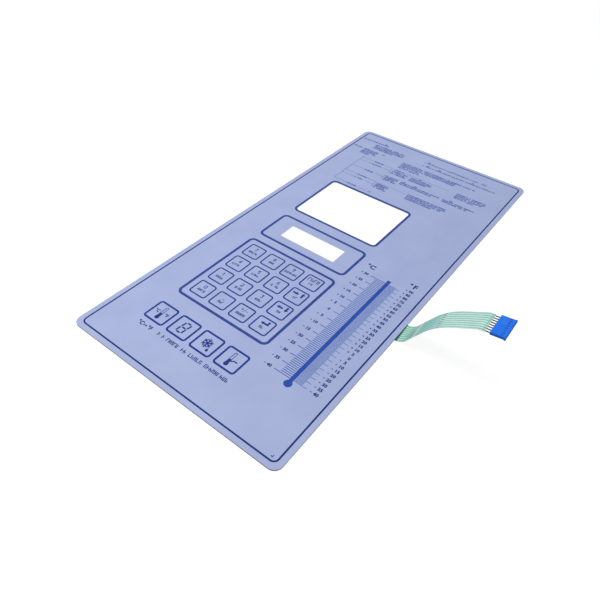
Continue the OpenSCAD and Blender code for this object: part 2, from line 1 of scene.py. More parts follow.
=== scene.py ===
"""Looks of a membrane keypad panel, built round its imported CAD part.

The panel is a laminate of printed films that lies flat on a pale ground. The lower film's tail
curves up from its right edge to a crimped pin socket. Lengths are in millimetres until a mesh is
made. The frame is the part's own: the origin is the middle of the rear face, X runs right, Y up
the panel and Z out of the printed face.
"""

import json
import logging
import math
from collections.abc import Mapping, Sequence
from dataclasses import dataclass, replace
from enum import Enum
from typing import Any, ClassVar, NamedTuple

import bmesh
import bpy
import numpy as np
from mathutils import Matrix, Vector

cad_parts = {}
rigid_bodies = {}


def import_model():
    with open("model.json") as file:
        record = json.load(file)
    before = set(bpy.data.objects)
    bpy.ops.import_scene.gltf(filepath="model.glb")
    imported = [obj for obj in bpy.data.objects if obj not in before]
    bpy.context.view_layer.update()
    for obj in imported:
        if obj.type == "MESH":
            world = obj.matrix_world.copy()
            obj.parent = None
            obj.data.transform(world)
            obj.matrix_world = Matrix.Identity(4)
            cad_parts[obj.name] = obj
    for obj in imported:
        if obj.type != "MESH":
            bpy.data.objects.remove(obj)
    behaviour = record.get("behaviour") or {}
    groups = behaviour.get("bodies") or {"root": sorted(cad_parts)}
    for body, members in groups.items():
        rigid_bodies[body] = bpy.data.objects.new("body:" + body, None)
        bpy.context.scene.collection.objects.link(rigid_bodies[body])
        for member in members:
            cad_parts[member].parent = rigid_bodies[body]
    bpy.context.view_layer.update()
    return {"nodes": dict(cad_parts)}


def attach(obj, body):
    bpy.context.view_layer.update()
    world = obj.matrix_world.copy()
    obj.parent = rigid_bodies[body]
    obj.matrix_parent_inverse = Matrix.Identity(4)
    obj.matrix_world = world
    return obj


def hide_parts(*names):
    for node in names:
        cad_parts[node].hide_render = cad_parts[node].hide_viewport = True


LOG = logging.getLogger("keypad")
MM = 0.001
BODY = "root"
# Two places this near each other, in mm, count as one
NEAR = 0.001
# Faces that turn by less than this, in degrees, lie in one plane
FLAT = 0.5
# Height of a digit as a share of the built-in font's size, and straight runs for each curve of its outline
DIGIT_SHARE = 0.7
DIGIT_RUNS = 2
# Degrees Fahrenheit in one degree Celsius
FAHRENHEIT = 1.8

Nodes = Mapping[str, bpy.types.Object]
Shape = tuple[np.ndarray, list[list[int]]]
Tree = bpy.types.NodeTree
Socket = bpy.types.NodeSocket
Colour = tuple[float, float, float, float]
Pair = tuple[float, float]
Triple = tuple[float, float, float]


# Sizes that several pieces share


@dataclass(frozen=True)
class Layout:
    """Places of the print in mm from the middle of the panel, as in the part's source."""

    panel_edge: float = 100.0
    edge_gap: float = 0.05
    key_x: float = -50.4
    key_y: float = -121.7
    key_pitch: float = 21.3
    function_x: float = -55.25
    function_y: float = -162.05
    function_pitch: float = 24.533
    first_mark_y: float = -148.3
    celsius_step: float = 1.87
    print_bottom: float = 1.13
    print_top: float = 1.155
    print_step: float = 0.002

    @property
    def tail_root(self) -> float:
        """Returns the x past which the tail is clear of the panel's cut edge."""
        return self.panel_edge + self.edge_gap

    def key(self, column: int, row: int) -> np.ndarray:
        """Returns the middle of a key, counted from the lower left."""
        return np.array([self.key_x + column * self.key_pitch, self.key_y + row * self.key_pitch])

    def function_key(self, column: int) -> np.ndarray:
        """Returns the middle of a function key, counted from the left."""
        return np.array([self.function_x + column * self.function_pitch, self.function_y])


LAYOUT = Layout()


# Small tools for nodes


def linear(code: str) -> Colour:
    """Turns an sRGB hex colour into linear values.

    Args:
        code: six hex digits after a hash.

    Returns:
        Red, green, blue and an alpha of 1.
    """
    levels = [int(code[i : i + 2], 16) / 255 for i in (1, 3, 5)]
    r, g, b = [v / 12.92 if v <= 0.04045 else ((v + 0.055) / 1.055) ** 2.4 for v in levels]
    return r, g, b, 1.0


def grey(level: float) -> Colour:
    """Returns a grey of a linear level."""
    return level, level, level, 1.0


WHITE = grey(1.0)


def empty_tree(owner: bpy.types.Material | bpy.types.World) -> Tree:
    """Gives a material or a sky a node tree without nodes.

    Args:
        owner: the material or the sky.

    Returns:
        Its tree.
    """
    owner.use_nodes = True
    owner.node_tree.nodes.clear()
    return owner.node_tree


def node(tree: Tree, kind: str, links: Mapping[Any, Any], **settings: Any) -> bpy.types.Node:
    """Adds one node.

    Args:
        tree: the material's or the sky's node tree.
        kind: Blender's name for the node's type.
        links: for each input, by name or number, a socket to link or a value to set.
        settings: the node's own properties.

    Returns:
        The new node.
    """
    made = tree.nodes.new(kind)
    for key, value in settings.items():
        setattr(made, key, value)
    for key, value in links.items():
        if isinstance(value, Socket):
            tree.links.new(value, made.inputs[key])
        else:
            made.inputs[key].default_value = value
    return made


# Small tools for meshes


def in_scene(name: str, data: bpy.types.ID) -> bpy.types.Object:
    """Sets a mesh, a curve, a camera or a lamp in the scene.

    Args:
        name: the object's name.
        data: what it holds.

    Returns:
        The new object, at the origin.
    """
    made = bpy.data.objects.new(name, data)
    bpy.context.scene.collection.objects.link(made)
    return made


def points_of(mesh: bpy.types.Mesh) -> np.ndarray:
    """Reads a mesh's points.

    Args:
        mesh: the mesh.

    Returns:
        n by 3 coordinates in the mesh's own unit.
    """
    points = np.zeros(len(mesh.vertices) * 3)
    mesh.vertices.foreach_get("co", points)
    return points.reshape(-1, 3)


def merged_copy(source: bpy.types.Object) -> bpy.types.Mesh:
    """Copies a CAD node's mesh and merges its loose triangles into closed faces.

    Args:
        source: the node.

    Returns:
        The new mesh.
    """
    mesh = source.data.copy()
    work = bmesh.new()
    work.from_mesh(mesh)
    bmesh.ops.remove_doubles(work, verts=work.verts, dist=NEAR * MM)
    bmesh.ops.dissolve_limit(work, angle_limit=math.radians(FLAT), verts=work.verts, edges=work.edges)
    work.to_mesh(mesh)
    work.free()
    return mesh


def shape_mesh(name: str, shape: Shape) -> bpy.types.Mesh:
    """Turns points in mm and faces into a mesh in metres.

    Args:
        name: the mesh's name.
        shape: points and faces.

    Returns:
        The mesh.
    """
    points, faces = shape
    mesh = bpy.data.meshes.new(name)
    mesh.from_pydata((points * MM).tolist(), [], faces)
    mesh.update()
    return mesh


def joined(shapes: Sequence[Shape]) -> Shape:
    """Puts shapes together.

    Args:
        shapes: points and faces of each.

    Returns:
        All the points, and the faces numbered to suit.
    """
    starts = np.cumsum([0] + [len(points) for points, _ in shapes]).tolist()
    faces = [[i + start for i in face] for start, (_, own) in zip(starts, shapes) for face in own]
    return np.concatenate([points for points, _ in shapes]), faces


def grid_faces(rows: int, columns: int) -> np.ndarray:
    """Quads over a grid of points numbered row by row, whose last column joins its first.

    The point in row i and column j is number i times the columns plus j, and each quad takes it, the next
    one in its row and the two above them.

    Args:
        rows: how many rows of points there are.
        columns: how many points a row has.

    Returns:
        An array of four indices a face.
    """
    i, j = np.meshgrid(np.arange(rows - 1), np.arange(columns), indexing="ij")
    a, b = i * columns + j, i * columns + (j + 1) % columns
    return np.stack([a, b, b + columns, a + columns], -1).reshape(-1, 4)


def strokes(starts: np.ndarray, ends: np.ndarray, width: float) -> np.ndarray:
    """Footprints of straight strokes.

    A stroke's corners stand half a width to each side of its line and half a width past its ends.

    Args:
        starts: n by 2 points in mm.
        ends: n by 2 points in mm.
        width: the strokes' width in mm.

    Returns:
        n by 4 by 2 corners, counter-clockwise.
    """
    run = ends - starts
    along = run / np.linalg.norm(run, axis=1, keepdims=True) * width / 2
    side = np.stack([-along[:, 1], along[:, 0]], -1)
    low, high = starts - along, ends + along
    return np.stack([low - side, high - side, high + side, low + side], 1)


def prints(corners: np.ndarray, layer: int = 0) -> Shape:
    """Thin blocks of ink on any number of four-cornered footprints.

    Each footprint gives four points on the film and four at the ink's height, and six quads join them.
    Blocks of different layers may cross, since their tops stand at different heights.

    Args:
        corners: n by 4 by 2 corners, counter-clockwise from above, in mm.
        layer: number of the layer, which sets how high the ink is.

    Returns:
        Points and faces.
    """
    n = len(corners)
    top = LAYOUT.print_top + layer * LAYOUT.print_step
    feet = np.concatenate([corners, np.full((n, 4, 1), LAYOUT.print_bottom)], -1)
    tops = np.concatenate([corners, np.full((n, 4, 1), top)], -1)
    block = np.array([[3, 2, 1, 0], [4, 5, 6, 7], [0, 1, 5, 4], [1, 2, 6, 5], [2, 3, 7, 6], [3, 0, 4, 7]])
    faces = (block[None] + 8 * np.arange(n)[:, None, None]).reshape(-1, 4)
    return np.concatenate([feet, tops], 1).reshape(-1, 3), faces.tolist()


def word(text: str, middle: Sequence[float], height: float, widen: float, weight: float) -> Shape:
    """Outlines digits or a unit sign as ink.

    Args:
        text: digits, a sign or a unit.
        middle: its middle in mm.
        height: height of a digit in mm.
        widen: factor on its width.
        weight: how far its outline is moved outwards, as a part of its height.

    Returns:
        Points in mm and faces.
    """
    curve = bpy.data.curves.new("word", "FONT")
    curve.body = text
    curve.align_x = "CENTER"
    curve.align_y = "CENTER"
    curve.size = height / DIGIT_SHARE
    curve.offset = weight * height
    curve.resolution_u = DIGIT_RUNS
    curve.extrude = (LAYOUT.print_top - LAYOUT.print_bottom) / 2
    shape = in_scene("word", curve)
    mesh = bpy.data.meshes.new_from_object(shape.evaluated_get(bpy.context.evaluated_depsgraph_get()))
    points = points_of(mesh) * (widen, 1, 1) + (*middle, LAYOUT.print_bottom + curve.extrude)
    faces = [list(face.vertices) for face in mesh.polygons]
    bpy.data.objects.remove(shape)
    bpy.data.curves.remove(curve)
    bpy.data.meshes.remove(mesh)
    return points, faces


# Finishes

# The Mix node's two colours going in and the one coming out, which share their names with its other sockets
MIX_FROM, MIX_TO, MIX_OUT = 6, 7, 2
# Most of a noise's levels lie between these two
NOISE_LOW, NOISE_HIGH = 0.3, 0.7
# Layers of ever finer noise in the clouds and in the grain
CLOUD_DETAIL, GRAIN_DETAIL = 3.0, 2.0
BUMP_STRENGTH = 0.4


@dataclass(frozen=True)
class Zones:
    """Colours that follow one another along X and multiply a finish's own.

    Each stop is a place in mm along X where Y is nought, with its hex colour. The stops lean back by a share
    of Y, and where X is less than the root, the first colour holds.
    """

    stops: tuple[tuple[float, str], ...]
    lean: float = 0.0
    root: float = -LAYOUT.panel_edge

    def tint(self, tree: Tree, place: Socket, colour: Socket) -> Socket:
        """Multiplies a colour by the zones.

        Args:
            tree: the material's node tree.
            place: Object coordinates, in metres.
            colour: the finish's own colour.

        Returns:
            The new colour's socket.
        """
        first, last = self.stops[0][0], self.stops[-1][0]
        along = node(tree, "ShaderNodeVectorMath", {0: place, 1: (1.0, self.lean, 0.0)},
                     operation="DOT_PRODUCT").outputs["Value"]
        share = node(tree, "ShaderNodeMapRange", {
            "Value": along, "From Min": first * MM, "From Max": last * MM}).outputs["Result"]
        level = node(tree, "ShaderNodeSeparateXYZ", {0: place}).outputs["X"]
        outside = node(tree, "ShaderNodeMath", {0: level, 1: self.root * MM},
                       operation="GREATER_THAN").outputs["Value"]
        shown = node(tree, "ShaderNodeMath", {0: share, 1: outside}, operation="MULTIPLY").outputs["Value"]
        ramp = node(tree, "ShaderNodeValToRGB", {"Fac": shown})
        marks = ramp.color_ramp.elements
        for x, _ in self.stops[1:-1]:
            marks.new((x - first) / (last - first))
        for mark, (_, code) in zip(marks, self.stops):
            mark.color = linear(code)
        return node(tree, "ShaderNodeMix", {0: 1.0, MIX_FROM: ramp.outputs["Color"], MIX_TO: colour},
                    data_type="RGBA", blend_type="MULTIPLY").outputs[MIX_OUT]


class Skin(NamedTuple):
    """Sockets that a finish's pattern gives its shader."""

    colour: Socket
    rough: Socket
    normal: Socket


@dataclass(frozen=True)
class Finish:
    """A cloudy colour over a grained skin, with the sizes of both in mm."""

    name: str
    colour: str
    shade: str
    roughness: float
    cloud: float
    grain: float
    relief: float
    stretch: Triple = (1.0, 1.0, 1.0)
    swing: float = 0.05
    ior: float = 1.5
    metallic: float = 0.0
    zones: Zones | None = None

    def material(self) -> bpy.types.Material:
        """Makes the finish's material.

        Returns:
            The new material.
        """
        made = bpy.data.materials.new(self.name)
        tree = empty_tree(made)
        place = node(tree, "ShaderNodeTexCoord", {}).outputs["Object"]
        node(tree, "ShaderNodeOutputMaterial", {"Surface": self.surface(tree, self.pattern(tree, place))})
        return made

    def pattern(self, tree: Tree, place: Socket) -> Skin:
        """Works out the colour, the roughness and the normal.

        Noise as wide as the clouds blends the shade into the colour. Finer noise, drawn out along an axis,
        swings the roughness about its mean and raises the skin.

        Args:
            tree: the material's node tree.
            place: Object coordinates, in metres.

        Returns:
            Their three sockets.
        """
        clouds = node(tree, "ShaderNodeTexNoise", {
            "Vector": place, "Scale": 1 / (self.cloud * MM), "Detail": CLOUD_DETAIL}).outputs["Fac"]
        spread = node(tree, "ShaderNodeMapRange", {
            "Value": clouds, "From Min": NOISE_LOW, "From Max": NOISE_HIGH}).outputs["Result"]
        colour = node(tree, "ShaderNodeMix", {
            0: spread, MIX_FROM: linear(self.shade), MIX_TO: linear(self.colour)},
            data_type="RGBA").outputs[MIX_OUT]
        if self.zones:
            colour = self.zones.tint(tree, place, colour)
        drawn = node(tree, "ShaderNodeMapping", {"Vector": place, "Scale": self.stretch}).outputs["Vector"]
        grain = node(tree, "ShaderNodeTexNoise", {
            "Vector": drawn, "Scale": 1 / (self.grain * MM), "Detail": GRAIN_DETAIL}).outputs["Fac"]
        rough = node(tree, "ShaderNodeMapRange", {
            "Value": grain, "To Min": self.roughness - self.swing,
            "To Max": self.roughness + self.swing}).outputs["Result"]
        normal = node(tree, "ShaderNodeBump", {
            "Height": grain, "Strength": BUMP_STRENGTH, "Distance": self.relief * MM}).outputs["Normal"]
        return Skin(colour, rough, normal)

    def surface(self, tree: Tree, skin: Skin) -> Socket:
        """Sets the pattern on a solid, opaque body.

        Args:
            tree: the material's node tree.
            skin: the pattern.

        Returns:
            The shader's output.
        """
        return node(tree, "ShaderNodeBsdfPrincipled", {
            "Base Color": skin.colour, "Roughness": skin.rough, "Normal": skin.normal, "IOR": self.ior,
            "Metallic": self.metallic}).outputs["BSDF"]


@dataclass(frozen=True)
class ScreenInk(Finish):
    """Solvent ink pulled through a woven screen: nearly even, faintly mottled, with the weave in its skin.

    The real weave is about 0.15 mm, too fine to show, so it is drawn at 0.7 mm.
    """

    roughness: float = 0.5
    cloud: float = 9.0
    grain: float = 0.7
    relief: float = 0.004


@dataclass(frozen=True)
class DenseInk(ScreenInk):
    """Screen ink so full of pigment that its skin is broken and reflects little."""

    ior: float = 1.2


@dataclass(frozen=True)
class Metal(Finish):
    """Rolled strip or silver ink: marks along X, and tarnish that clouds the colour."""

    cloud: float = 1.5
    grain: float = 0.12
    relief: float = 0.004
    stretch: Triple = (0.12, 1.0, 1.0)
    metallic: float = 1.0


@dataclass(frozen=True)
class TintedFilm(Finish):
    """Tinted polyester: light soaks into it and passes through, under a smooth and slightly wavy gloss."""

    cloud: float = 9.0
    grain: float = 5.0
    relief: float = 0.05
    ior: float = 1.57
    glow: float = 0.35

    def surface(self, tree: Tree, skin: Skin) -> Socket:
        """Mixes the glossy body with light let through from behind.

        Args:
            tree: the material's node tree.
            skin: the pattern.

        Returns:
            The shader's output.
        """
        body = super().surface(tree, skin)
        through = node(tree, "ShaderNodeBsdfTranslucent", {"Color": skin.colour}).outputs["BSDF"]
        return node(tree, "ShaderNodeMixShader", {0: self.glow, 1: body, 2: through}).outputs["Shader"]


@dataclass(frozen=True)
class ClearFilm(Finish):
    """Clear polyester, calendered smooth: nearly nothing but its gloss shows."""

    cloud: float = 40.0
    grain: float = 12.0
    relief: float = 0.01
    ior: float = 1.57
    haze: float = 0.01

    def surface(self, tree: Tree, skin: Skin) -> Socket:
        """Mixes a see-through shader with gloss by Fresnel, and a trace of milky haze.

        The gloss is left off the inner side of a face, where Fresnel would give total reflection.

        Args:
            tree: the material's node tree.
            skin: the pattern.

        Returns:
            The shader's output.
        """
        clear = node(tree, "ShaderNodeBsdfTransparent", {"Color": WHITE}).outputs["BSDF"]
        milk = node(tree, "ShaderNodeBsdfDiffuse", {"Color": skin.colour}).outputs["BSDF"]
        body = node(tree, "ShaderNodeMixShader", {0: self.haze, 1: clear, 2: milk}).outputs["Shader"]
        gloss = node(tree, "ShaderNodeBsdfAnisotropic", {
            "Color": WHITE, "Roughness": skin.rough, "Normal": skin.normal}).outputs["BSDF"]
        glance = node(tree, "ShaderNodeFresnel", {"IOR": self.ior}).outputs["Fac"]
        inner = node(tree, "ShaderNodeNewGeometry", {}).outputs["Backfacing"]
        outer = node(tree, "ShaderNodeMath", {0: 1.0, 1: inner}, operation="SUBTRACT").outputs["Value"]
        share = node(tree, "ShaderNodeMath", {0: glance, 1: outer}, operation="MULTIPLY").outputs["Value"]
        return node(tree, "ShaderNodeMixShader", {0: share, 1: body, 2: gloss}).outputs["Shader"]


class Palette(Enum):
    """Every finish of the part, by what it is."""

    # Screen ink thinned with white: a pale, satin field with broad, faint mottling
    FIELD = ScreenInk("periwinkle_screen_ink", "#AEBBE7", "#A6B4E0", cloud=28.0)
    # Dense screen inks in several blues, which differ from print pass to print pass: flat and nearly even
    BORDER = DenseInk("border_navy_screen_ink", "#163280", "#122B72")
    NAVY = DenseInk("navy_screen_ink", "#1C3C90", "#173484")
    BLUE = DenseInk("blue_screen_ink", "#1C409C", "#183890")
    FRAME = DenseInk("frame_blue_screen_ink", "#3852A2", "#334B98")
    BRIGHT = DenseInk("bright_blue_screen_ink", "#3058BC", "#2A50AE")
    FINE = DenseInk("fine_navy_screen_ink", "#2A50AC", "#2448A0")
    # The legends' dense ink: navy, and a brighter blue on the scale's fine marks
    LEGEND = DenseInk("legend_screen_ink", "#FFFFFF", "#F4F5F8", zones=Zones((
        (34.0, "#1C3C90"), (36.0, "#2458B8"))))
    # Calendered polyester sheet without dye: seen only by its reflections
    CLEAR = ClearFilm("clear_polyester_film", "#FFFFFF", "#FAFBFC", 0.12, swing=0.02)
    # Polyester sheet dyed in the melt, of which the cut edge shows: dark, since light runs away inside it,
    # and partly painted shade along the panel's cut edge
    EDGE = TintedFilm("green_polyester_edge_painted_shade", "#2C443E", "#223832", 0.5, ior=1.15, glow=0.05)
    # Dyed sheet bent to shape: light soaks through its mint, with painted light in its colour: a painted
    # shadow at its root under the panel's edge, painted shade on the rise and painted highlights along both
    # creases
    TAIL = TintedFilm("green_polyester_painted_shade_and_highlights", "#FFFFFF", "#F0F6F3", 0.3, glow=0.12, zones=Zones((
        (95.9, "#16241F"), (96.7, "#3C5E54"), (97.6, "#BEF8E8"), (101.0, "#B8F2E0"), (105.6, "#A4DCCC"),
        (107.3, "#B0E0D6"), (107.9, "#FFFFFF"), (108.7, "#F4FFFB"), (109.4, "#A0E4D2"), (114.0, "#ACEEDC"),
        (122.6, "#C0F4E8"), (123.3, "#E2FFF6"), (124.1, "#CFF8EE"), (131.0, "#DAFFF8"), (154.5, "#DAFFF8")),
        lean=0.07, root=LAYOUT.tail_root))
    # Silver flake in resin under a green cover coat: dull, greyer than the film
    SILVER = Metal("printed_silver_ink", "#9CC9BC", "#8CBAAD", 0.45, cloud=2.5, metallic=0.2)
    # The same print on the tail, with painted light in its colour: a painted shadow at its root under the
    # panel's edge, a painted highlight along the first crease and darker along the second
    TRACKS = Metal("silver_ink_painted_shade_and_highlight", "#FFFFFF", "#EAF0EE", 0.45, cloud=2.5, metallic=0.1, zones=Zones((
        (95.9, "#1A2C28"), (96.7, "#3A6258"), (97.6, "#84BCAA"), (107.2, "#84B8AA"), (107.9, "#C4E2DA"),
        (108.9, "#B8D8D0"), (109.6, "#8CC0B4"), (122.4, "#90C2B8"), (122.9, "#2C665A"), (123.7, "#5C9488"),
        (124.4, "#A2D0C6"), (131.0, "#96C6BA"), (154.5, "#98C8BC")),
        lean=0.07, root=LAYOUT.tail_root))
    # Die-cut sheets that only their edges show: their dark colour is partly painted shade, the shadow along
    # the panel's cut edge
    SPACER = Finish("spacer_film_painted_edge_shade", "#1C1F26", "#14171C", 0.6, 2.0, 1.0, 0.01, ior=1.15)
    ADHESIVE = Finish("acrylic_adhesive_painted_edge_shade", "#24262C", "#1A1C22", 0.6, 3.0, 1.2, 0.01, ior=1.15)
    # Kraft paper with a silicone skin: a greyish off-white with fibres along Y
    LINER = Finish("silicone_coated_paper", "#D6D4CC", "#C8C6BC", 0.55, 0.6, 0.6, 0.01, (1.0, 0.35, 1.0))
    # Nylon moulded in a spark-eroded tool: a waxy azure with a fine grain
    HOUSING = Finish("moulded_blue_nylon", "#127EFF", "#0E74F4", 0.5, 6.0, 0.25, 0.012, ior=1.4)
    # Tin plate rolled and stamped, with painted light in its colour: painted highlights at the crimps,
    # painted shade on the necks, and the housing's blue painted on it as a reflection round the spring boxes
    TIN = Metal("tin_plate_painted_light_and_reflection", "#FFFFFF", "#E4E8E6", 0.4, metallic=0.25, zones=Zones((
        (155.6, "#B6DED2"), (158.1, "#AACEC4"), (158.5, "#12161A"), (161.6, "#0E1218"), (162.2, "#3A78FF"),
        (172.8, "#3470F0"))))

    def make(self) -> bpy.types.Material:
        """Returns the finish's material, made once."""
        return bpy.data.materials.get(self.value.name) or self.value.material()


# Pieces


def add_piece(name: str, mesh: bpy.types.Mesh, finish: Palette,
              replaced: Sequence[str] = ()) -> bpy.types.Object:
    """Sets a mesh in the scene as a piece of the part.

    Args:
        name: the piece's name, of letters, digits and underscores.
        mesh: its mesh, in metres.
        finish: its finish.
        replaced: CAD nodes that it stands for.

    Returns:
        The new object, which rides on the part's only body.
    """
    mesh.materials.clear()
    mesh.materials.append(finish.make())
    piece = in_scene(name, mesh)
    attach(piece, BODY)
    if replaced:
        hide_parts(*replaced)
    return piece


def add_shape(name: str, shape: Shape, finish: Palette,
              replaced: Sequence[str] = ()) -> bpy.types.Object:
    """Makes a piece of a shape in mm, with the other arguments of add_piece.

    Args:
        name: the piece's name.
        shape: its points and faces.
        finish: its finish.
        replaced: CAD nodes that it stands for.

    Returns:
        The piece.
    """
    return add_piece(name, shape_mesh(name, shape), finish, replaced)


# Laminate


@dataclass
class Laminate:
    """The part's own solids: the flat layers and the print, and those that the later classes make anew."""

    nodes: Nodes
    finishes: ClassVar[Mapping[str, Palette]] = {
        "release_liner": Palette.LINER,
        "rear_adhesive": Palette.ADHESIVE,
        "lower_circuit_film": Palette.TAIL,
        "lower_silver_print": Palette.TRACKS,
        "circuit_spacer": Palette.SPACER,
        "upper_silver_print": Palette.SILVER,
        "upper_circuit_film": Palette.EDGE,
        "overlay_adhesive": Palette.ADHESIVE,
        "overlay_film": Palette.CLEAR,
        "background_ink": Palette.FIELD,
        "border_ink": Palette.BORDER,
        "frame_ink": Palette.FRAME,
        "key_ink": Palette.BLUE,
        "legend_ink": Palette.LEGEND,
        "scale_ink": Palette.BRIGHT,
        "menu_ink": Palette.FINE,
        "connector_housing": Palette.HOUSING,
    }

    def build(self) -> list[bpy.types.Object]:
        """Gives every CAD node its finish; the contacts are the nodes without one of their own.

        Returns:
            The nodes.
        """
        for name, piece in self.nodes.items():
            finish = self.finishes.get(name, Palette.TIN)
            for slot in piece.material_slots:
                slot.material = finish.make()
        return list(self.nodes.values())


# Fine print


@dataclass
class ScaleNumbers:
    """The numbers beside the temperature scale's long marks, and the unit over each row."""

    height: float = 2.7
    widen: float = 1.05
    weight: float = 0.065
    sign: float = 1.4
    sign_line: float = 0.6
    celsius_x: float = 42.2
    celsius_sign_x: float = 38.2
    fahrenheit_x: float = 83.9
    fahrenheit_sign_x: float = 79.7
    lowest: int = -40
    interval: int = 5
    celsius_top: int = 30
    fahrenheit_top: int = 90
    unit_height: float = 5.0
    unit_weight: float = 0.05
    units: tuple[tuple[str, float, float], ...] = (
        ("°", 38.0, -6.8), ("C", 42.2, -6.8), ("°", 79.8, -5.9), ("F", 84.0, -5.9))

    def row(self, top: int, x: float, sign_x: float, step: float) -> list[Shape]:
        """Sets one row of numbers, evenly from the lowest up, with their signs in a row of their own.

        Args:
            top: the highest number.
            x: the digits' middle in mm.
            sign_x: the signs' middle in mm.
            step: height of one degree in mm.

        Returns:
            One shape for each number's digits, one for the signs' bars and one for their posts.
        """
        values = np.arange(self.lowest, top + 1, self.interval)
        heights = LAYOUT.first_mark_y + (values - self.lowest) * step
        out = [word(str(abs(value)), (x, y), self.height, self.widen, self.weight)
               for value, y in zip(values.tolist(), heights.tolist())]
        reach = np.array([self.sign - self.sign_line, 0.0]) / 2
        bars, posts = (heights[values != 0], reach), (heights[values > 0], reach[::-1])
        for layer, (own, half) in enumerate((bars, posts)):
            middles = np.stack([np.full(len(own), sign_x), own], -1)
            out.append(prints(strokes(middles - half, middles + half, self.sign_line), layer))
        return out

    def build(self) -> list[bpy.types.Object]:
        """Draws the numbers and the units.

        Returns:
            The one piece that holds them.
        """
        step = LAYOUT.celsius_step
        shapes = self.row(self.celsius_top, self.celsius_x, self.celsius_sign_x, step)
        shapes += self.row(self.fahrenheit_top, self.fahrenheit_x, self.fahrenheit_sign_x, step / FAHRENHEIT)
        shapes += [word(text, (x, y), self.unit_height, self.widen, self.unit_weight)
                   for text, x, y in self.units]
        return [add_shape("scale_numbers", joined(shapes), Palette.BORDER)]


@dataclass(frozen=True)
class Block:
    """Rows of generic marks, in mm: left end, top, the rows' widths, and a mark's height, pitch and line."""

    x: float
    y: float
    widths: tuple[float, ...]
    height: float = 2.1
    pitch: float = 2.85
    line: float = 0.5

    def centred(self, x: float, y: float, width: float) -> "Block":
        """Returns one such row, centred on a place in X and raised over it by the block's own y."""
        return replace(self, x=x - width / 2, y=y + self.y, widths=(width,))


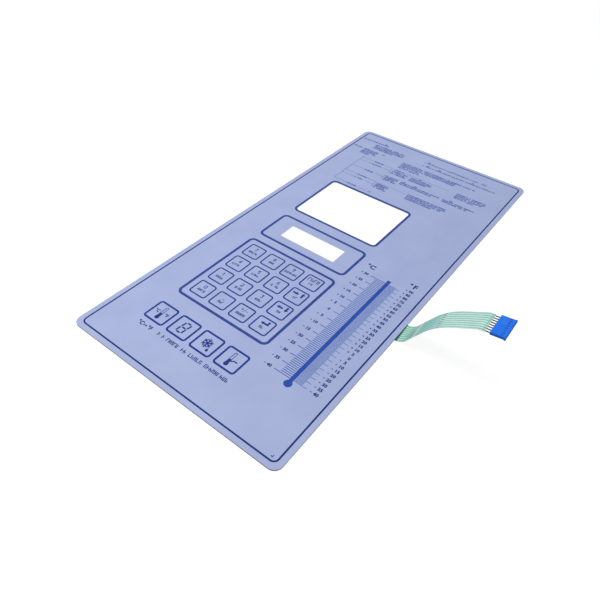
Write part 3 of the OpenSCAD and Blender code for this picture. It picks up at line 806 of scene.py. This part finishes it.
@dataclass
class GenericMarks:
    """Rows of small generic marks: stems and bars with the grain of small print, which spell nothing."""

    seed: int = 21
    # A cell's width as a share of a mark's height, the fewest cells in a row, and the share left empty
    cell_share: float = 0.74
    fewest: int = 2
    empty_share: float = 0.06
    # Each stem's place as a share of the cell, its chance, and its height as a share of the mark's
    stems: tuple[Triple, ...] = ((0.0, 1.0, 1.0), (0.52, 0.6, 1.0), (0.52, 0.4, 0.5))
    # The bar's length as a share of the cell, its chance and the shares of the height where it may lie
    bar_share: float = 0.52
    bar_chance: float = 0.85
    bar_levels: Triple = (0.0, 0.5, 1.0)
    menu: tuple[Block, ...] = (
        Block(-92.7, 192.8, (34.0,)),
        Block(-72.5, 187.5, (38.3, 38.3, 38.3, 27.0)),
        Block(-92.7, 171.1, (10.7,)),
        Block(-78.9, 171.3, (19.6, 19.6, 17.0, 19.6, 12.0), pitch=2.6),
        Block(-55.4, 171.9, (3.8,)),
        Block(-27.8, 172.0, (87.2, 65.8, 65.8, 25.8, 25.8), pitch=2.9),
        Block(-9.7, 189.9, (74.6,), height=2.2, line=0.42),
        Block(-8.6, 182.2, (86.1,), height=2.2, line=0.42),
        Block(46.7, 154.3, (33.0, 33.0, 30.0, 22.0)),
        Block(-53.4, 153.0, (12.0,)),
        Block(-53.4, 147.0, (12.0,)),
        Block(-53.4, 131.2, (11.0,)),
        Block(-53.4, 117.4, (12.0,)),
        Block(-53.4, 111.1, (10.0,)),
        Block(-53.4, 95.6, (12.0,)),
        Block(-27.0, 153.0, (12.0,)),
        Block(-27.8, 149.4, (18.1, 16.0, 18.1), pitch=2.7),
        Block(-5.4, 149.4, (25.4, 25.4, 20.0), pitch=2.7),
        Block(-27.8, 135.4, (14.9, 14.9, 13.0, 14.9), pitch=2.7),
        Block(-9.7, 134.0, (47.7, 38.0)),
        Block(40.0, 134.0, (35.0, 28.0)),
        Block(8.4, 118.4, (43.6, 43.6, 40.0, 30.0), pitch=2.8),
        Block(-27.8, 115.2, (14.9, 14.9, 12.0, 14.9), pitch=2.7),
        Block(-27.0, 95.6, (5.0,)),
    )
    # Short marks that stand on the menu's lines
    raised_at: tuple[Pair, ...] = (
        (-62.9, 193.1), (-4.4, 190.2), (26.5, 190.2), (-2.3, 182.5), (11.6, 182.5), (52.0, 182.5),
        (5.2, 149.7), (-6.5, 134.3), (7.3, 134.3), (48.8, 134.3))
    raised: Block = Block(0.0, 2.2, (), 2.2)
    raised_width: float = 3.4
    # Plain lines in the menu: both ends in X, and Y
    rules: tuple[Triple, ...] = ((-14.0, 38.0, 152.1), (-41.6, 8.4, 116.5), (-9.7, -5.6, 146.1))
    rule_line: float = 0.3
    # The points of a small tick by the border's lower right corner
    tick: tuple[Pair, ...] = ((89.5, -203.0), (90.8, -203.5), (90.8, -201.8))
    tick_line: float = 0.5
    # Marks on the keys of each row, on top of the last key, and under the function keys but the first
    key_mark: Block = Block(0.0, -0.7, (), 2.6, line=0.58)
    key_widths: tuple[tuple[float, ...], ...] = (
        (8.1, 5.5, 9.2, 3.9), (7.8, 7.2, 6.1, 3.9), (9.4, 8.0, 8.0, 3.9), (9.2, 5.5, 12.5, 3.9))
    last_mark: Block = Block(0.0, 5.2, (), 4.0, line=0.75)
    last_width: float = 11.8
    function_mark: Block = Block(0.0, -14.45, (), 3.4, line=0.72)
    function_widths: Triple = (21.5, 21.0, 23.0)
    # The unit signs on and under the first function key: rise over its middle, height, widening and weight
    unit_reach: float = 4.9
    unit_rows: tuple[tuple[float, ...], ...] = ((0.2, 2.9, 0.95, 0.06), (-16.55, 3.6, 1.0, 0.055))
    arrow_reach: float = 1.6
    arrow_head: float = 0.8
    arrow_line: float = 0.5

    def key_blocks(self) -> list[Block]:
        """Places the marks at the keys and under the function keys.

        Returns:
            One block for each.
        """
        out = [self.key_mark.centred(*LAYOUT.key(column, row), width)
               for row, widths in enumerate(self.key_widths) for column, width in enumerate(widths)]
        last_row, last_column = len(self.key_widths) - 1, len(self.key_widths[-1]) - 1
        out.append(self.last_mark.centred(*LAYOUT.key(last_column, last_row), self.last_width))
        out += [self.function_mark.centred(*LAYOUT.function_key(column), width)
                for column, width in enumerate(self.function_widths, 1)]
        return out

    def marks(self, block: Block, chance: np.random.Generator) -> Shape:
        """Draws one block's marks.

        A row is a run of cells, of which a few by chance are left empty, but never the first. Each of the
        others has an upright stem and, by chance, a bar across and a second stem.

        Args:
            block: where the rows are.
            chance: the source of random numbers.

        Returns:
            Points and faces.
        """
        out = []
        for row, width in enumerate(block.widths):
            count = max(self.fewest, round(width / (self.cell_share * block.height)))
            cell = width / count
            x = block.x + cell * np.arange(count) + block.line / 2
            x = x[(chance.random(count) > self.empty_share) | (np.arange(count) == 0)]
            low = block.y - row * block.pitch - block.height + block.line / 2
            rise = block.height - block.line
            for place, odds, height in self.stems:
                pick = x[chance.random(len(x)) < odds] + place * cell
                feet = np.stack([pick, np.full(len(pick), low)], -1)
                out.append(strokes(feet, feet + (0.0, rise * height), block.line))
            pick = x[chance.random(len(x)) < self.bar_chance]
            level = low + rise * chance.choice(self.bar_levels, len(pick))
            ends = np.stack([pick, level], -1)
            out.append(strokes(ends, ends + (self.bar_share * cell, 0.0), block.line))
        layers = len(self.stems) + 1
        return joined([prints(corners, i % layers) for i, corners in enumerate(out)])

    def units(self) -> list[Shape]:
        """Sets the generic unit signs at the first function key, and the arrow between them.

        Returns:
            One shape for each sign and for each stroke of the arrow.
        """
        x, y = LAYOUT.function_key(0)
        out = [word(text, (x + side * self.unit_reach, y + rise), height, widen, weight)
               for rise, height, widen, weight in self.unit_rows for text, side in (("°C", -1), ("°F", 1))]
        reach, head = self.arrow_reach, self.arrow_head
        barb = reach - head
        starts = np.array([[-reach, 0.0]] * 3 + [[reach, 0.0]] * 2)
        ends = np.array([[reach, 0.0], [-barb, head], [-barb, -head], [barb, head], [barb, -head]])
        middle = np.array([x, y + self.unit_rows[-1][0]])
        lines = strokes(starts + middle, ends + middle, self.arrow_line)
        return out + [prints(lines[i : i + 1], i) for i in range(len(lines))]

    def build(self) -> list[bpy.types.Object]:
        """Draws the marks.

        Returns:
            The menu's marks and the keys' marks.
        """
        chance = np.random.default_rng(self.seed)
        menu = [self.marks(block, chance) for block in self.menu]
        menu += [self.marks(self.raised.centred(x, y, self.raised_width), chance) for x, y in self.raised_at]
        rules = np.array(self.rules)
        menu.append(prints(strokes(rules[:, [0, 2]], rules[:, [1, 2]], self.rule_line)))
        keys = [self.marks(block, chance) for block in self.key_blocks()] + self.units()
        turns = np.array(self.tick)
        keys += [prints(strokes(turns[i : i + 1], turns[i + 1 : i + 2], self.tick_line), i) for i in (0, 1)]
        return [
            add_shape("menu_marks", joined(menu), Palette.FINE),
            add_shape("key_marks", joined(keys), Palette.NAVY),
        ]


# Tail and connector


@dataclass
class Tail:
    """The lower circuit film with its tail as one smooth ribbon, and the silver lines on it.

    Each bend is a stretch's length in mm and the degrees that it turns upwards.
    """

    nodes: Nodes
    root_x: float = 94.0
    middle_y: float = -57.9
    middle_z: float = 0.325
    width: float = 20.72
    thickness: float = 0.15
    silver: float = 0.02
    line_width: float = 1.0
    pitch: float = 2.54
    lines: int = 8
    bends: tuple[Pair, ...] = (
        (6.0, 0.0), (3.6, 25.0), (7.0, 32.5), (19.2, 0.0),
        (27.2, -27.0), (16.8, 0.0), (3.0, -22.5), (2.8, 0.0))
    step: float = 0.5

    def profile(self) -> tuple[np.ndarray, np.ndarray]:
        """Follows the tail's middle line.

        The heading turns evenly along each stretch, so the line is the running sum of short steps along the
        mean heading of each.

        Returns:
            Points (x, z) in mm and the upward normals at them.
        """
        headings, lengths, heading = [], [], 0.0
        for length, turn in self.bends:
            n = math.ceil(length / self.step)
            headings.append(heading + turn * (np.arange(n) + 0.5) / n)
            lengths.append(np.full(n, length / n))
            heading += turn
        theta, run = np.radians(np.concatenate(headings)), np.concatenate(lengths)
        steps = np.stack([np.cos(theta), np.sin(theta)], -1) * run[:, None]
        start = np.array([[self.root_x, self.middle_z]])
        points = np.concatenate([start, start + steps.cumsum(0)])
        ends = np.concatenate([theta[:1], (theta[1:] + theta[:-1]) / 2, theta[-1:]])
        return points, np.stack([-np.sin(ends), np.cos(ends)], -1)

    def ribbon(self, low: float, high: float, middle: float, width: float) -> Shape:
        """Makes a closed strip that follows the profile.

        At each point of the profile four corners stand at the low and high distances along its normal, at
        both sides. Quads join each ring of four to the next, and one quad closes each end.

        Args:
            low: distance of the lower face from the middle line in mm.
            high: distance of the upper face in mm.
            middle: place of the strip's middle along Y in mm.
            width: the strip's width in mm.

        Returns:
            Points and faces.
        """
        line, normal = self.profile()
        y0, y1 = middle - width / 2, middle + width / 2
        corners = []
        for away, y in ((low, y0), (low, y1), (high, y1), (high, y0)):
            x, z = (line + away * normal).T
            corners.append(np.stack([x, np.full(len(x), y), z], -1))
        last = 4 * (len(line) - 1)
        faces = grid_faces(len(line), 4).tolist() + [[0, 1, 2, 3], [last + 3, last + 2, last + 1, last]]
        return np.stack(corners, 1).reshape(-1, 3), faces

    def inside(self, name: str, limit: float) -> Shape:
        """Copies the flat part of a CAD node, with its doubled points merged.

        Args:
            name: the node.
            limit: the largest x in mm that is kept.

        Returns:
            Points in mm and triangles, those with every corner within the limit.
        """
        mesh = merged_copy(self.nodes[name])
        points = points_of(mesh) / MM
        mesh.calc_loop_triangles()
        faces = np.zeros(len(mesh.loop_triangles) * 3, int)
        mesh.loop_triangles.foreach_get("vertices", faces)
        bpy.data.meshes.remove(mesh)
        faces = faces.reshape(-1, 3)
        faces = faces[(points[faces][..., 0] < limit + NEAR).all(1)]
        used, back = np.unique(faces, return_inverse=True)
        return points[used], back.reshape(-1, 3).tolist()

    def build(self) -> list[bpy.types.Object]:
        """Makes the film and the silver, which take the place of the two CAD nodes.

        Returns:
            The two pieces.
        """
        half = self.thickness / 2
        film = joined([self.inside("lower_circuit_film", LAYOUT.panel_edge),
                       self.ribbon(-half, half, self.middle_y, self.width)])
        middles = self.middle_y + (np.arange(self.lines) - (self.lines - 1) / 2) * self.pitch
        tracks = [self.ribbon(half, half + self.silver, y, self.line_width) for y in middles]
        silver = joined([self.inside("lower_silver_print", self.root_x)] + tracks)
        return [
            add_shape("circuit_film_with_tail", film, Palette.TAIL,
                      ["lower_circuit_film"]),
            add_shape("silver_lines", silver, Palette.TRACKS, ["lower_silver_print"]),
        ]


@dataclass
class Connector:
    """The socket's housing and its contacts, with the soft edges of moulded and stamped pieces."""

    nodes: Nodes
    contacts: int = 8
    moulded_edge: float = 0.09
    stamped_edge: float = 0.05
    edge_rows: int = 2

    def soften(self, name: str, source: str, edge: float, finish: Palette) -> bpy.types.Object:
        """Rounds the edges of a copy of a CAD node.

        Args:
            name: the piece's name.
            source: the CAD node that it replaces.
            edge: width of the rounding in mm.
            finish: the piece's finish.

        Returns:
            The piece.
        """
        piece = add_piece(name, merged_copy(self.nodes[source]), finish, [source])
        bevel = piece.modifiers.new("soft_edges", "BEVEL")
        bevel.width = edge * MM
        bevel.segments = self.edge_rows
        bevel.limit_method = "ANGLE"
        return piece

    def build(self) -> list[bpy.types.Object]:
        """Makes the housing and every contact.

        Returns:
            The pieces.
        """
        out = [self.soften("moulded_housing", "connector_housing", self.moulded_edge, Palette.HOUSING)]
        for i in range(1, self.contacts + 1):
            out.append(self.soften(f"stamped_contact_{i}", f"contact_{i}", self.stamped_edge, Palette.TIN))
        return out


# Stage


@dataclass
class Studio:
    """A plain pale floor, soft light and the photo's camera, whose axes are right, up and back."""

    eye: Triple = (198.3494, -338.4634, 303.7705)
    right: Triple = (0.7928832, 0.6076167, 0.0462414)
    up: Triple = (-0.4486316, 0.5306976, 0.7190895)
    back: Triple = (0.4123906, -0.5908993, 0.6933772)
    focal_px: float = 536.67
    frame_px: float = 600.0
    sensor: float = 36.0
    nearest: float = 10.0
    floor_half: float = 3000.0
    floor_gap: float = 0.4
    floor_matt: float = 0.3
    floor_dim: float = 0.2
    floor_glow: float = 0.91
    sky: float = 0.2
    lamp_watts: float = 13.5
    lamp_size: float = 1000.0
    lamp_place: Triple = (-450.0, -150.0, 1250.0)

    def camera(self) -> None:
        """Places the camera as solved from the photo."""
        lens = bpy.data.cameras.new("camera")
        lens.sensor_width = self.sensor
        lens.lens = self.focal_px / self.frame_px * self.sensor
        lens.clip_start = self.nearest * MM
        camera = in_scene("camera", lens)
        turn = Matrix((self.right, self.up, self.back)).transposed().to_4x4()
        camera.matrix_world = Matrix.Translation(Vector(self.eye) * MM) @ turn
        bpy.context.scene.camera = camera

    def in_sight(self, tree: Tree) -> Socket:
        """Tells the rays that a picture, a reflection or a clear sheet shows from those that only light.

        Args:
            tree: the material's or the sky's node tree.

        Returns:
            A socket that is 1 for camera, glossy and transmission rays.
        """
        rays = node(tree, "ShaderNodeLightPath", {}).outputs
        some = node(tree, "ShaderNodeMath", {0: rays["Is Camera Ray"], 1: rays["Is Glossy Ray"]},
                    operation="MAXIMUM").outputs["Value"]
        return node(tree, "ShaderNodeMath", {0: some, 1: rays["Is Transmission Ray"]},
                    operation="MAXIMUM").outputs["Value"]

    def floor(self) -> None:
        """Makes the ground: matt where it lights the part, and lifted to white where a picture shows it."""
        ring = np.array([[-1.0, -1.0], [1.0, -1.0], [1.0, 1.0], [-1.0, 1.0]]) * self.floor_half
        corners = np.concatenate([ring, np.full((4, 1), -self.floor_gap)], 1)
        mesh = shape_mesh("floor", (corners, [[0, 1, 2, 3]]))
        made = bpy.data.materials.new("white_ground")
        tree = empty_tree(made)
        matt = node(tree, "ShaderNodeBsdfDiffuse", {"Color": grey(self.floor_matt)}).outputs["BSDF"]
        dim = node(tree, "ShaderNodeBsdfDiffuse", {"Color": grey(self.floor_dim)}).outputs["BSDF"]
        glow = node(tree, "ShaderNodeEmission", {
            "Color": WHITE, "Strength": self.floor_glow}).outputs["Emission"]
        white = node(tree, "ShaderNodeAddShader", {0: dim, 1: glow}).outputs["Shader"]
        seen = self.in_sight(tree)
        mixed = node(tree, "ShaderNodeMixShader", {0: seen, 1: matt, 2: white}).outputs["Shader"]
        node(tree, "ShaderNodeOutputMaterial", {"Surface": mixed})
        mesh.materials.append(made)
        in_scene("floor", mesh)

    def light(self) -> None:
        """Adds an even sky and one broad lamp overhead, a little to the left."""
        world = bpy.data.worlds.new("sky")
        bpy.context.scene.world = world
        tree = empty_tree(world)
        lit, white = [
            node(tree, "ShaderNodeBackground", {"Color": WHITE, "Strength": strength}).outputs["Background"]
            for strength in (self.sky, 1.0)]
        seen = self.in_sight(tree)
        mixed = node(tree, "ShaderNodeMixShader", {0: seen, 1: lit, 2: white}).outputs["Shader"]
        node(tree, "ShaderNodeOutputWorld", {"Surface": mixed})
        lamp = bpy.data.lights.new("softbox", "AREA")
        lamp.shape = "DISK"
        lamp.size = self.lamp_size * MM
        lamp.energy = self.lamp_watts
        place = Vector(self.lamp_place) * MM
        turn = (-place).to_track_quat("-Z", "Y").to_matrix().to_4x4()
        in_scene("softbox", lamp).matrix_world = Matrix.Translation(place) @ turn

    def build(self) -> None:
        """Sets the whole stage."""
        self.camera()
        self.floor()
        self.light()
        bpy.context.scene.view_settings.view_transform = "Standard"


def main() -> None:
    """Builds the stage, dresses the part, adds its pieces and reports each of them."""
    logging.basicConfig(level=logging.INFO, format="%(message)s")
    for left in list(bpy.data.objects):
        bpy.data.objects.remove(left)
    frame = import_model()
    nodes = frame["nodes"]
    Studio().build()
    for maker in (Laminate(nodes), Tail(nodes), Connector(nodes), ScaleNumbers(), GenericMarks()):
        for piece in maker.build():
            LOG.info("%s: %d faces, %s", piece.name, len(piece.data.polygons), piece.active_material.name)
    bpy.context.view_layer.update()


if __name__ == "__main__":
    main()
